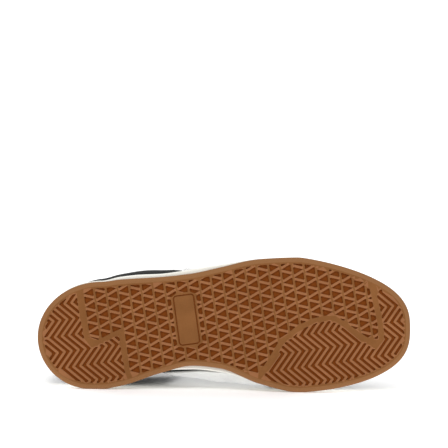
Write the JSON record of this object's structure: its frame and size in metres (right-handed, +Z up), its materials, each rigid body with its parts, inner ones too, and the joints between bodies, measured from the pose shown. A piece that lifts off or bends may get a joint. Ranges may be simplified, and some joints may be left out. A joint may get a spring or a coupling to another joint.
{
  "type": "athletic shoe",
  "caption": "Low court shoe for the right foot, lying on its inner side: gum outsole with herringbone and triangle tread, cupsole, hollow leather upper with side saddles, tongue and flat lace.",
  "frame": {"origin": "middle of the footprint of the part's box, on the floor that the shoe lies on", "axes": "+X from heel to toe, +Y from the tread towards the collar (about 5 degrees off the shoe's own up), +Z up"},
  "size_m": [0.3022, 0.1372, 0.1088],
  "materials": {
    "gum": "matt moulded gum rubber",
    "cupsole": "satin off-white rubber",
    "black_leather": "grained, satin",
    "white_leather": "fine grain, satin",
    "lining": "knitted cloth",
    "lace": "flat woven cotton"
  },
  "bodies": {
    "root": {"outsole": "gum", "midsole": "cupsole", "insole": "lining", "upper": "black_leather", "saddle_inner": "white_leather", "saddle_outer": "white_leather", "tongue": "black_leather", "lace_bar_1": "lace", "lace_bar_2": "lace", "lace_bar_3": "lace", "lace_bar_4": "lace", "lace_bar_5": "lace", "lace_bar_6": "lace"}
  },
  "joints": []
}
